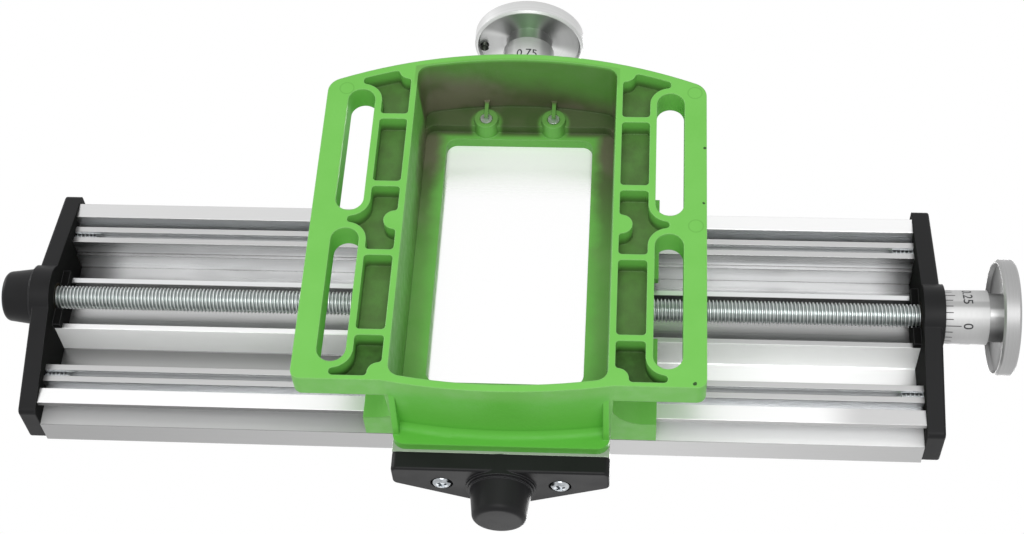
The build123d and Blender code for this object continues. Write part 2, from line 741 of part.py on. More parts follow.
# Saddle casting: it grips the rail below and the feet of the table above
saddle_front_y = saddle_rest_y + saddle_width / 2
saddle_half = saddle_length / 2
flange_underside = rail_top - rail_flange_thickness
rail_cavity_top = rail_top + slide_gap
rail_cavity_half = rail_flange_outer + side_gap
rail_groove_half = rail_foot_outer + side_gap
saddle_bottom = base_height + rail_floor + 2 * slide_gap
hook_top = table_base + saddle_hook_height
hook_underside = table_base + table_flange_thickness + slide_gap
hook_inner = table_foot_groove + side_gap
hook_wall = table_flange_outer + side_gap
gib_wall_x = rail_flange_outer + gib_recess
gib_wall_y = table_flange_outer + gib_recess
gib_back_x = rail_flange_outer + slide_gap + gib_thickness
gib_back_y = table_flange_outer + slide_gap + gib_thickness
trough_floor = long_axis_z - screw_radius - long_trough_clearance
cross_trough_top = cross_axis_z + screw_radius + cross_trough_clearance
long_nut_seat = long_axis_z - nut_seat_distance
cross_nut_seat = cross_axis_z + nut_seat_distance
nut_screw_length = nut_flange_thickness + long_nut_seat - cross_nut_seat - nut_screw_web
gib_screw_z_low = (flange_underside + rail_top) / 2
gib_screw_z_high = table_base + table_flange_thickness / 2

with BuildPart() as saddle_casting:
    with BuildSketch(Plane.XZ.offset(-saddle_front_y)):
        bar(-saddle_core_half, saddle_bottom, saddle_core_half, saddle_top)
        bar(-saddle_half, saddle_underwing, saddle_half, saddle_top)
        for side in (-1, 1):
            cove_x = side * (saddle_core_half + saddle_cove / 2)
            with Locations((cove_x, saddle_underwing - saddle_cove / 2)):
                Rectangle(saddle_cove, saddle_cove)
            with Locations((side * (saddle_core_half + saddle_cove), saddle_underwing - saddle_cove)):
                Circle(saddle_cove, mode=Mode.SUBTRACT)
        bar(-rail_cavity_half, flange_underside - slide_gap, rail_cavity_half, rail_cavity_top,
            mode=Mode.SUBTRACT)
        bar(-gib_wall_x, flange_underside - slide_gap, -rail_cavity_half, rail_cavity_top,
            mode=Mode.SUBTRACT)
        bar(-rail_groove_half, saddle_bottom, rail_groove_half, flange_underside, mode=Mode.SUBTRACT)
        bar(-cross_trough_half, rail_top, cross_trough_half, cross_trough_top, mode=Mode.SUBTRACT)
    extrude(amount=saddle_width)
    with BuildSketch(Plane((-saddle_half, saddle_rest_y, 0), x_dir=(0, 1, 0), z_dir=(1, 0, 0))):
        for side in (-1, 1):
            inner_wall = hook_wall if side > 0 else gib_wall_y
            bar(side * inner_wall, saddle_underwing, side * saddle_width / 2, hook_top)
            bar(side * hook_inner, hook_underside, side * saddle_width / 2, hook_top)
    extrude(amount=saddle_length)
    with BuildSketch(Plane((-saddle_half, saddle_rest_y, 0), x_dir=(0, 1, 0), z_dir=(1, 0, 0))):
        bar(-saddle_trough_half, trough_floor, saddle_trough_half, saddle_top)
    extrude(amount=saddle_length, mode=Mode.SUBTRACT)
    with BuildSketch(Plane.XY.offset(long_nut_seat)):
        with Locations((0, saddle_rest_y)):
            Rectangle(nut_length + 2 * seat_gap, 2 * (nut_flange_half + seat_gap))
    extrude(amount=saddle_top - long_nut_seat, mode=Mode.SUBTRACT)
    with BuildSketch(Plane.XY.offset(cross_nut_seat)):
        with Locations((0, saddle_rest_y)):
            Rectangle(2 * (nut_flange_half + seat_gap), nut_length + 2 * seat_gap)
    extrude(amount=-(cross_nut_seat - rail_top), mode=Mode.SUBTRACT)
    with BuildSketch(Plane.XY.offset(long_nut_seat)):
        with Locations((0, saddle_rest_y)):
            with GridLocations(1, 2 * nut_screw_offset, 1, 2):
                Circle(nut_screw_diameter / 2 + seat_gap)
    extrude(amount=-(nut_screw_length - nut_flange_thickness), mode=Mode.SUBTRACT)
    with BuildSketch(Plane.XY.offset(cross_nut_seat)):
        with Locations((0, saddle_rest_y)):
            with GridLocations(2 * nut_screw_offset, 1, 2, 1):
                Circle(nut_screw_diameter / 2 + seat_gap)
    extrude(amount=nut_screw_length - nut_flange_thickness, mode=Mode.SUBTRACT)
    with BuildSketch(Plane((0, saddle_rest_y - saddle_width / 2, gib_screw_z_high), x_dir=(1, 0, 0),
                           z_dir=(0, 1, 0))):
        with GridLocations(gib_screw_spacing, 1, 3, 1):
            Circle(gib_screw_diameter / 2 + seat_gap)
    extrude(amount=saddle_width / 2 - gib_back_y, mode=Mode.SUBTRACT)
    with BuildSketch(Plane((-saddle_core_half, saddle_rest_y, gib_screw_z_low), x_dir=(0, 1, 0),
                           z_dir=(1, 0, 0))):
        with GridLocations(gib_screw_spacing, 1, 3, 1):
            Circle(gib_screw_diameter / 2 + seat_gap)
    extrude(amount=saddle_core_half - gib_back_x, mode=Mode.SUBTRACT)
saddle_casting.part.label = "saddle_casting"
export_step(saddle_casting.part, "parts/saddle_casting.step")

# Gib strips that take up the side play, and the set screws that press them
gib_height_low = rail_flange_thickness - running_gap
gib_height_high = table_flange_thickness - running_gap
with BuildPart() as y_gib_strip:
    with Locations((-(gib_back_x - gib_thickness / 2), saddle_rest_y, gib_screw_z_low)):
        Box(gib_thickness, saddle_width, gib_height_low)
y_gib_strip.part.label = "y_gib_strip"
export_step(y_gib_strip.part, "parts/y_gib_strip.step")
with BuildPart() as x_gib_strip:
    with Locations((0, saddle_rest_y - (gib_back_y - gib_thickness / 2), gib_screw_z_high)):
        Box(saddle_length, gib_thickness, gib_height_high)
x_gib_strip.part.label = "x_gib_strip"
export_step(x_gib_strip.part, "parts/x_gib_strip.step")
with BuildPart() as y_gib_screws:
    with BuildSketch(Plane((-gib_back_x, saddle_rest_y, gib_screw_z_low), x_dir=(0, 1, 0),
                           z_dir=(-1, 0, 0))):
        with GridLocations(gib_screw_spacing, 1, 3, 1):
            Circle(gib_screw_diameter / 2)
            RegularPolygon(gib_screw_socket / 2, 6, major_radius=False, mode=Mode.SUBTRACT)
    extrude(amount=gib_screw_length)
y_gib_screws.part.label = "y_gib_screws"
export_step(y_gib_screws.part, "parts/y_gib_screws.step")
with BuildPart() as x_gib_screws:
    with BuildSketch(Plane((0, saddle_rest_y - gib_back_y, gib_screw_z_high), x_dir=(1, 0, 0),
                           z_dir=(0, -1, 0))):
        with GridLocations(gib_screw_spacing, 1, 3, 1):
            Circle(gib_screw_diameter / 2)
            RegularPolygon(gib_screw_socket / 2, 6, major_radius=False, mode=Mode.SUBTRACT)
    extrude(amount=gib_screw_length)
x_gib_screws.part.label = "x_gib_screws"
export_step(x_gib_screws.part, "parts/x_gib_screws.step")


def leadscrew_nut(seat_plane):
    """Flanged nut. The plane lies on the seat, its z points at the leadscrew, its x along it."""
    with BuildPart() as piece:
        with BuildSketch(seat_plane):
            Rectangle(nut_length, 2 * nut_flange_half)
        extrude(amount=nut_flange_thickness)
        with BuildSketch(seat_plane):
            Rectangle(nut_length, 2 * nut_half_width)
        extrude(amount=nut_seat_distance + nut_reach)
        bore_plane = Plane(seat_plane.from_local_coords((-nut_length / 2, 0, nut_seat_distance)),
                           x_dir=seat_plane.y_dir, z_dir=seat_plane.x_dir)
        with BuildSketch(bore_plane):
            Circle(screw_radius + shaft_gap)
        extrude(amount=nut_length, mode=Mode.SUBTRACT)
        with Locations(seat_plane.offset(nut_flange_thickness)):
            with GridLocations(1, 2 * nut_screw_offset, 1, 2):
                CounterSinkHole(nut_screw_diameter / 2 + seat_gap, nut_screw_head / 2 + seat_gap,
                                depth=nut_flange_thickness)
    return piece


def nut_screws(seat_plane):
    """The two countersunk screws of a leadscrew nut."""
    head_cone = (nut_screw_head - nut_screw_diameter) / 2
    head_plane = seat_plane.offset(nut_flange_thickness - head_cone)
    with BuildPart() as group:
        with Locations(head_plane):
            with GridLocations(1, 2 * nut_screw_offset, 1, 2):
                Cone(nut_screw_diameter / 2, nut_screw_head / 2, head_cone,
                     align=(Align.CENTER, Align.CENTER, Align.MIN))
                Cylinder(nut_screw_diameter / 2, nut_screw_length - head_cone - running_gap,
                         align=(Align.CENTER, Align.CENTER, Align.MAX))
    return group


long_seat = Plane((0, saddle_rest_y, long_nut_seat), x_dir=(1, 0, 0), z_dir=(0, 0, 1))
cross_seat = Plane((0, saddle_rest_y, cross_nut_seat), x_dir=(0, 1, 0), z_dir=(0, 0, -1))
x_nut = leadscrew_nut(long_seat)
x_nut.part.label = "x_nut"
export_step(x_nut.part, "parts/x_nut.step")
x_nut_screws = nut_screws(long_seat)
x_nut_screws.part.label = "x_nut_screws"
export_step(x_nut_screws.part, "parts/x_nut_screws.step")
y_nut = leadscrew_nut(cross_seat)
y_nut.part.label = "y_nut"
export_step(y_nut.part, "parts/y_nut.step")
y_nut_screws = nut_screws(cross_seat)
y_nut_screws.part.label = "y_nut_screws"
export_step(y_nut_screws.part, "parts/y_nut_screws.step")

# Distances outward from the end of a rail or table, along its leadscrew
cap_face = plate_thickness + cap_boss_height
tail_length = cap_face + running_gap + washer_thickness + retaining_nut_height + journal_tail
dial_start = plate_thickness + dial_boss_height + running_gap
wheel_start = dial_start + dial_length
wheel_end = wheel_start + wheel_rim_setback + wheel_rim_width
drive_length = wheel_end - journal_setback

# Cross leadscrew with its bushes, cap, dial and handwheel
cross_near = axis_plane(front_end, cross_axis_rise)
cross_far = axis_plane(back_end, cross_axis_rise)
y_leadscrew = leadscrew(cross_near, cross_far, tail_length, drive_length)
y_leadscrew.part.label = "y_leadscrew"
export_step(y_leadscrew.part, "parts/y_leadscrew.step")
y_front_bush = ring(cross_near, bush_diameter / 2, journal_radius + shaft_gap, cap_face)
y_front_bush.part.label = "y_front_bush"
export_step(y_front_bush.part, "parts/y_front_bush.step")
y_back_bush = ring(cross_far, bush_diameter / 2, journal_radius + shaft_gap, dial_start - running_gap)
y_back_bush.part.label = "y_back_bush"
export_step(y_back_bush.part, "parts/y_back_bush.step")
y_thrust_washer = ring(cross_near.offset(cap_face + running_gap), washer_diameter / 2,
                       journal_radius + seat_gap, washer_thickness)
y_thrust_washer.part.label = "y_thrust_washer"
export_step(y_thrust_washer.part, "parts/y_thrust_washer.step")
y_retaining_nut = retaining_nut(cross_near.offset(cap_face + running_gap + washer_thickness))
y_retaining_nut.part.label = "y_retaining_nut"
export_step(y_retaining_nut.part, "parts/y_retaining_nut.step")
y_end_cap = end_cap(cross_near.offset(cap_face))
y_end_cap.part.label = "y_end_cap"
export_step(y_end_cap.part, "parts/y_end_cap.step")
y_dial = dial(cross_far.offset(dial_start))
y_dial.part.label = "y_dial"
export_step(y_dial.part, "parts/y_dial.step")
y_handwheel = handwheel(cross_far.offset(wheel_start), cross_knob_hole_angle)
y_handwheel.part.label = "y_handwheel"
export_step(y_handwheel.part, "parts/y_handwheel.step")
y_wheel_washer = ring(cross_far.offset(wheel_end), wheel_washer_diameter / 2,
                      wheel_screw_diameter / 2 + seat_gap, washer_thickness)
y_wheel_washer.part.label = "y_wheel_washer"
export_step(y_wheel_washer.part, "parts/y_wheel_washer.step")
y_wheel_screw = wheel_screw(cross_far.offset(wheel_end + washer_thickness))
y_wheel_screw.part.label = "y_wheel_screw"
export_step(y_wheel_screw.part, "parts/y_wheel_screw.step")

# Long leadscrew with the same pieces
long_near = axis_plane(left_end, -long_axis_drop)
long_far = axis_plane(right_end, -long_axis_drop)
x_leadscrew = leadscrew(long_near, long_far, tail_length, drive_length)
x_leadscrew.part.label = "x_leadscrew"
export_step(x_leadscrew.part, "parts/x_leadscrew.step")
x_left_bush = ring(long_near, bush_diameter / 2, journal_radius + shaft_gap, cap_face)
x_left_bush.part.label = "x_left_bush"
export_step(x_left_bush.part, "parts/x_left_bush.step")
x_right_bush = ring(long_far, bush_diameter / 2, journal_radius + shaft_gap, dial_start - running_gap)
x_right_bush.part.label = "x_right_bush"
export_step(x_right_bush.part, "parts/x_right_bush.step")
x_thrust_washer = ring(long_near.offset(cap_face + running_gap), washer_diameter / 2,
                       journal_radius + seat_gap, washer_thickness)
x_thrust_washer.part.label = "x_thrust_washer"
export_step(x_thrust_washer.part, "parts/x_thrust_washer.step")
x_retaining_nut = retaining_nut(long_near.offset(cap_face + running_gap + washer_thickness))
x_retaining_nut.part.label = "x_retaining_nut"
export_step(x_retaining_nut.part, "parts/x_retaining_nut.step")
x_end_cap = end_cap(long_near.offset(cap_face))
x_end_cap.part.label = "x_end_cap"
export_step(x_end_cap.part, "parts/x_end_cap.step")
x_dial = dial(long_far.offset(dial_start))
x_dial.part.label = "x_dial"
export_step(x_dial.part, "parts/x_dial.step")
x_handwheel = handwheel(long_far.offset(wheel_start), long_knob_hole_angle)
x_handwheel.part.label = "x_handwheel"
export_step(x_handwheel.part, "parts/x_handwheel.step")
x_wheel_washer = ring(long_far.offset(wheel_end), wheel_washer_diameter / 2,
                      wheel_screw_diameter / 2 + seat_gap, washer_thickness)
x_wheel_washer.part.label = "x_wheel_washer"
export_step(x_wheel_washer.part, "parts/x_wheel_washer.step")
x_wheel_screw = wheel_screw(long_far.offset(wheel_end + washer_thickness))
x_wheel_screw.part.label = "x_wheel_screw"
export_step(x_wheel_screw.part, "parts/x_wheel_screw.step")
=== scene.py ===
import bpy
import bmesh
import json
import math
from mathutils import Matrix, Vector


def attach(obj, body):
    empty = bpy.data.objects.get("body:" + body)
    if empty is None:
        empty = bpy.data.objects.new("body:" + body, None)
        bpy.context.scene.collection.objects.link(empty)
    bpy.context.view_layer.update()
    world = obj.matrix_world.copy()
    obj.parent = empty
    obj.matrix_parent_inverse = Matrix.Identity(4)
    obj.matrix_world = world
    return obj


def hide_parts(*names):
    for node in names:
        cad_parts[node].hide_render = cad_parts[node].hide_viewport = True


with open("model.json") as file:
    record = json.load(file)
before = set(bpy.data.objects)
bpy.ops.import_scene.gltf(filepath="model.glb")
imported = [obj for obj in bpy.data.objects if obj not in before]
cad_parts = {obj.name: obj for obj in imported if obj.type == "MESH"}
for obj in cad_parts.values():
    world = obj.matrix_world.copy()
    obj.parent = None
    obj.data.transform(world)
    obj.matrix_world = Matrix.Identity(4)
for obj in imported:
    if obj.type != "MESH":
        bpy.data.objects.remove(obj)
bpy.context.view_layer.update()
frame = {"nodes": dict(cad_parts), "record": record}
nodes = frame["nodes"]
scene = bpy.context.scene
scene.view_settings.view_transform = "Standard"
MM = 0.001

# Places taken from the frame, in millimetres
TABLE_LEFT, TABLE_RIGHT = -159.65, 136.35
TABLE_MIDDLE = -11.65
RAIL_BACK, RAIL_FRONT = -76.7, 70.7
LONG_AXIS = 58.77
CROSS_AXIS = 42.3

# The base casting, in millimetres
REAR_ARC_CENTRE = 94.1
RAIL_BOSSES = ((11.5, -52.7), (-11.5, -52.7))
SLOT_ASIDE, SLOT_MIDDLE, SLOT_HALF_PITCH, SLOT_STRAIGHT = 50.85, 5.0, 27.8, 19.9
ROUND_MARKS = ((58.67, -47.54), (59.08, 5.3), (-56.25, -47.5))
MARK_RADIUS = 2.3
CHIPS = ((61.9, -25.1, 0.5), (61.5, -3.5, 0.4), (58.9, 62.0, 0.6), (61.6, -60.2, 0.5), (-38.1, -19.9, 0.35))

# Threads, screws and wheels, in millimetres
LEAD, LEADSCREW_CREST, LEADSCREW_ROOT = 1.25, 4.0, 3.25
LONG_LENGTH, CROSS_LENGTH = TABLE_RIGHT - TABLE_LEFT, RAIL_FRONT - RAIL_BACK
JOURNAL_RADIUS, TAPPED_RADIUS, TAPPED_DEPTH = 3.0, 2.05, 9.0
WHEEL_TAIL, CAP_TAIL = 29.7, 12.9
PLATE_SCREW = {"head": 3.1, "height": 2.4, "crest": 2.1, "root": 1.5, "pitch": 1.4, "length": 13.4}
WHEEL_SCREW = {"head": 3.8, "height": 2.4, "crest": 2.0, "root": 1.6, "pitch": 0.7, "length": 8.9}
PLATE_SCREW_SEAT, WHEEL_SCREW_SEAT = 4.4, 30.9
KNOB_CIRCLE, KNOB_SEAT = 16.4, 24.4
DIAL_SEAT, DIAL_RADIUS, DIAL_FLARE, DIAL_LENGTH = 7.1, 9.0, 0.2, 14.6
DIAL_LINES = 25
DIAL_STEP = 360 / DIAL_LINES


class Shader:
    """A node material under construction."""

    def __init__(self, name, **constants):
        self.mat = bpy.data.materials.new(name)
        self.mat.use_nodes = True
        self.tree = self.mat.node_tree
        self.tree.nodes.clear()
        self.out = self.add("ShaderNodeOutputMaterial")
        self.bsdf = self.add("ShaderNodeBsdfPrincipled")
        self.tree.links.new(self.bsdf.outputs[0], self.out.inputs[0])
        self.coords = self.add("ShaderNodeTexCoord").outputs["Object"]
        for socket, value in constants.items():
            self.bsdf.inputs[socket.replace("_", " ")].default_value = value

    def add(self, kind, inputs=None, **settings):
        node = self.tree.nodes.new(kind)
        for key, value in settings.items():
            setattr(node, key, value)
        for key, value in (inputs or {}).items():
            self.plug(node.inputs[key], value)
        return node

    def plug(self, socket, value):
        if isinstance(value, bpy.types.NodeSocket):
            self.tree.links.new(value, socket)
        else:
            socket.default_value = value

    def put(self, name, value):
        self.plug(self.bsdf.inputs[name], value)

    def math(self, operation, a, b=0.0):
        return self.add("ShaderNodeMath", {0: a, 1: b}, operation=operation).outputs[0]

    def product(self, *masks):
        result = masks[0]
        for mask in masks[1:]:
            result = self.math("MULTIPLY", result, mask)
        return result

    def length(self, a, b):
        return self.math("SQRT", self.math("ADD", self.math("MULTIPLY", a, a), self.math("MULTIPLY", b, b)))

    def axis(self, index):
        """One object coordinate, in millimetres."""
        split = self.add("ShaderNodeSeparateXYZ", {0: self.coords})
        return self.math("MULTIPLY", split.outputs[index], 1000.0)

    def noise(self, size, detail=2.0, roughness=0.5):
        """Noise with grains of the given size on each axis, in millimetres."""
        factors = [1 / (MM * part) for part in size]
        vector = self.add("ShaderNodeVectorMath", {0: self.coords, 1: factors}, operation="MULTIPLY").outputs[0]
        inputs = {"Vector": vector, "Scale": 1.0, "Detail": detail, "Roughness": roughness}
        return self.add("ShaderNodeTexNoise", inputs).outputs["Fac"]

    def ramp(self, value, low, high, start=0.0, end=1.0):
        """A smooth step from low to high, as start to end."""
        inputs = {"Value": value, "From Min": low, "From Max": high, "To Min": start, "To Max": end}
        return self.add("ShaderNodeMapRange", inputs, interpolation_type="SMOOTHSTEP").outputs[0]

    def blend(self, factor, a, b):
        return self.add("ShaderNodeMix", {0: factor, 6: a, 7: b}, data_type="RGBA").outputs[2]

    def ring(self, x, y, left, front):
        """Distance of a point from an upright line, in millimetres."""
        return self.length(self.math("SUBTRACT", x, left), self.math("SUBTRACT", y, front))

    def edges(self, radius, low, high):
        """1 on the edges of the solid, 0 on its faces."""
        rounded = self.add("ShaderNodeBevel", {"Radius": radius * MM}, samples=4)
        geometry = self.add("ShaderNodeNewGeometry")
        inputs = {0: rounded.outputs[0], 1: geometry.outputs["Normal"]}
        turn_away = self.add("ShaderNodeVectorMath", inputs, operation="DOT_PRODUCT")
        return self.ramp(turn_away.outputs["Value"], high, low)

    def surface(self, height, distance, radius):
        """Bump from a height, on edges rounded by a radius in millimetres."""
        rounded = self.add("ShaderNodeBevel", {"Radius": radius * MM}, samples=4)
        inputs = {"Strength": 1.0, "Distance": distance * MM, "Height": height, "Normal": rounded.outputs[0]}
        self.put("Normal", self.add("ShaderNodeBump", inputs).outputs[0])


def colour(red, green, blue):
    """A colour written as 0 to 255, as the linear values that Blender takes."""
    def linear(part):
        part /= 255
        return part / 12.92 if part <= 0.04045 else ((part + 0.055) / 1.055) ** 2.4
    return (linear(red), linear(green), linear(blue), 1.0)


def grey(level):
    return colour(level, level, level)


def cavity_shade_and_thin_paint(s, paint, x, y, z):
    """Painted shade in the cavity: a darker green inside it, darker still at its rear and on its rear ledge. The
    paint also thins out to grey brown towards its rear corners.
    """
    across, along = s.math("ABSOLUTE", x), s.math("ABSOLUTE", y)
    before_rear_wall = s.ramp(s.ring(x, y, 0.0, REAR_ARC_CENTRE), 155.5, 155.1)
    inside = s.product(s.ramp(across, 34.3, 33.7), s.ramp(along, 62.6, 61.2), before_rear_wall)
    ragged = s.math("MULTIPLY", s.math("SUBTRACT", s.noise((11, 11, 11), 3.0), 0.5), 7.0)
    # Painted shade: a darker green over the faces inside the cavity
    paint = s.blend(s.math("MULTIPLY", inside, s.ramp(z, 0.3, 3.0, 0.0, 0.4)), paint, colour(96, 152, 74))
    from_boss = s.math("MINIMUM", *[s.ring(x, y, *boss) for boss in RAIL_BOSSES])
    rear = s.math("MULTIPLY", s.ramp(y, -48.5, -51.5), s.ramp(from_boss, 4.6, 6.4, 0.25, 1.0))
    # Painted shade: a darker green over the rear of the cavity, less near the rail bosses and at its rim
    painted_rear_shade = s.product(inside, rear, s.ramp(z, 0.1, 1.5, 0.25, 0.9))
    paint = s.blend(painted_rear_shade, paint, colour(82, 128, 54))
    corner = s.math("ADD", across, s.math("MULTIPLY", s.math("SUBTRACT", z, 24.0), 0.5))
    corner = s.ramp(s.math("ADD", corner, ragged), 26.0, 31.5)
    corner = s.math("MULTIPLY", corner, s.ramp(y, 10.0, -42.0, 0.3, 0.95))
    deep = s.math("SUBTRACT", z, s.math("MULTIPLY", x, 0.25))
    deep = s.math("MULTIPLY", s.ramp(s.math("ADD", deep, ragged), 5.0, 19.0), rear)
    bare = s.math("MULTIPLY", s.math("MAXIMUM", corner, deep), inside)
    thin = s.blend(s.ramp(s.noise((16, 16, 16), 2.0), 0.4, 0.6), colour(106, 104, 84), colour(84, 92, 62))
    paint = s.blend(bare, paint, thin)
    # Painted shade: a much darker green on the rear ledge of the cavity
    ledge = s.product(inside, rear, s.ramp(z, 22.8, 23.8, 0.0, 0.6))
    return s.blend(ledge, paint, colour(58, 90, 42))


def slot_reach(s, x, y):
    """Distance from the middle line of the nearest bolt slot, in millimetres."""
    from_pair = s.math("ABSOLUTE", s.math("SUBTRACT", y, SLOT_MIDDLE))
    from_slot = s.math("ABSOLUTE", s.math("SUBTRACT", from_pair, SLOT_HALF_PITCH))
    ahead = s.math("MAXIMUM", s.math("SUBTRACT", from_slot, SLOT_STRAIGHT), 0.0)
    return s.length(ahead, s.math("SUBTRACT", s.math("ABSOLUTE", x), SLOT_ASIDE))


def pocket_floor_shade(s, paint, x, y, z, reach):
    """Painted shade on the floors of the casting pockets beside the bolt slots, darkest towards the front."""
    across, along = s.math("ABSOLUTE", x), s.math("ABSOLUTE", y)
    depth = s.math("MULTIPLY", s.ramp(z, 2.2, 6.0), s.ramp(z, 7.2, 6.9))
    width = s.math("MULTIPLY", s.ramp(across, 34.8, 35.3), s.ramp(across, 51.0, 50.6))
    cloudy = s.ramp(s.noise((5, 5, 5), 3.0), 0.3, 0.7, 0.85, 1.0)
    pocket = s.product(depth, width, s.ramp(reach, 5.3, 5.8), s.ramp(along, 62.8, 62.3), cloudy)
    # Painted shade: darker floors, darkest in the pockets towards the front
    return s.blend(pocket, paint, s.blend(s.ramp(y, 42.0, 50.0), colour(84, 116, 62), colour(56, 86, 38)))


def front_wall_shade(s, paint, x, y, z):
    """Painted shade: a darker, deeper green on the bulging front wall and darker still on the lip above it."""
    across = s.math("ABSOLUTE", x)
    apron = s.product(s.ramp(y, 60.0, 63.0), s.ramp(across, 34.0, 33.0), s.ramp(z, 3.0, 9.0), 0.8)
    # Painted shade: a deeper green on the front wall, darker on the lip
    return s.blend(apron, paint, s.blend(s.ramp(z, 24.0, 27.0), colour(98, 190, 66), colour(86, 172, 56)))


def marks_and_chips(s, paint, x, y, z):
    """Faint round marks on the underside of the base, and small chips in its paint."""
    under = s.ramp(z, 0.4, 0.1)
    for left, front in ROUND_MARKS:
        from_ring = s.math("ABSOLUTE", s.math("SUBTRACT", s.ring(x, y, left, front), MARK_RADIUS))
        ring = s.product(s.ramp(from_ring, 0.3, 0.1), under, 0.28)
        paint = s.blend(ring, paint, colour(78, 140, 56))
    for left, front, size in CHIPS:
        jagged = s.math("MULTIPLY", s.noise((0.6, 0.6, 0.6), 2.0), 0.6)
        from_chip = s.math("ADD", s.ring(x, y, left, front), jagged)
        chip = s.math("MULTIPLY", s.ramp(from_chip, size + 0.4, size + 0.2), s.ramp(z, 1.2, 0.8))
        paint = s.blend(chip, paint, colour(52, 84, 42))
    return paint


def casting_paint(name, is_base):
    """Green paint on a zinc casting. The base also has painted shade in its cavity, its pockets and on its front
    wall, thinner paint in its cavity, and its marks and chips.
    """
    s = Shader(name, Specular_IOR_Level=0.18)
    cloud = s.noise((14, 14, 14), 3.0)
    fine = s.noise((0.9, 0.9, 0.9), 2.0)
    paint = s.blend(cloud, colour(110, 187, 80), colour(123, 197, 94))
    # Lighter green on the edges: partly thinner paint, partly a painted highlight
    paint = s.blend(s.edges(0.6, 0.8, 0.97), paint, colour(152, 214, 130))
    rough = s.ramp(s.noise((4, 4, 4), 2.0), 0.3, 0.7, 0.36, 0.5)
    if is_base:
        x, y, z = s.axis(0), s.axis(1), s.axis(2)
        reach = slot_reach(s, x, y)
        paint = cavity_shade_and_thin_paint(s, paint, x, y, z)
        paint = pocket_floor_shade(s, paint, x, y, z, reach)
        paint = front_wall_shade(s, paint, x, y, z)
        paint = marks_and_chips(s, paint, x, y, z)
        slot_wall = s.math("MULTIPLY", s.ramp(reach, 5.2, 4.9), s.ramp(z, 0.5, 1.0))
        rough = s.ramp(slot_wall, 0.0, 1.0, rough, 0.9)
    s.put("Base Color", paint)
    s.put("Roughness", rough)
    s.surface(s.math("ADD", fine, s.math("MULTIPLY", cloud, 3.0)), 0.05, 0.6)
    return s.mat


def extrusion(name, grain, tones):
    """Drawn aluminium with fine streaks along the bar. grain is the streak's size on each axis. A tone is a mask,
    and the grey, shine and roughness it brings, with None for what it leaves. The greys of the tones are painted
    light, shade and reflection."""
    s = Shader(name, Metallic=1.0)
    streak = s.noise(grain, 3.0, 0.6)
    hairline = s.noise([size if size > 50 else size / 6 for size in grain], 2.0, 0.5)
    both = s.math("ADD", s.math("MULTIPLY", streak, 0.6), s.math("MULTIPLY", hairline, 0.4))
    tint = s.blend(s.ramp(both, 0.3, 0.7), colour(218, 219, 220), colour(230, 231, 232))
    metal, rough = 1.0, s.ramp(both, 0.3, 0.7, 0.26, 0.36)
    for mask, tone, shine, matt in tones(s):
        tint = s.blend(mask, tint, tone)
        metal = s.ramp(mask, 0.0, 1.0, metal, shine) if shine is not None else metal
        rough = s.ramp(mask, 0.0, 1.0, rough, matt) if matt is not None else rough
    s.put("Base Color", tint)
    s.put("Metallic", metal)
    s.put("Roughness", rough)
    s.surface(both, 0.012, 0.25)
    return s.mat


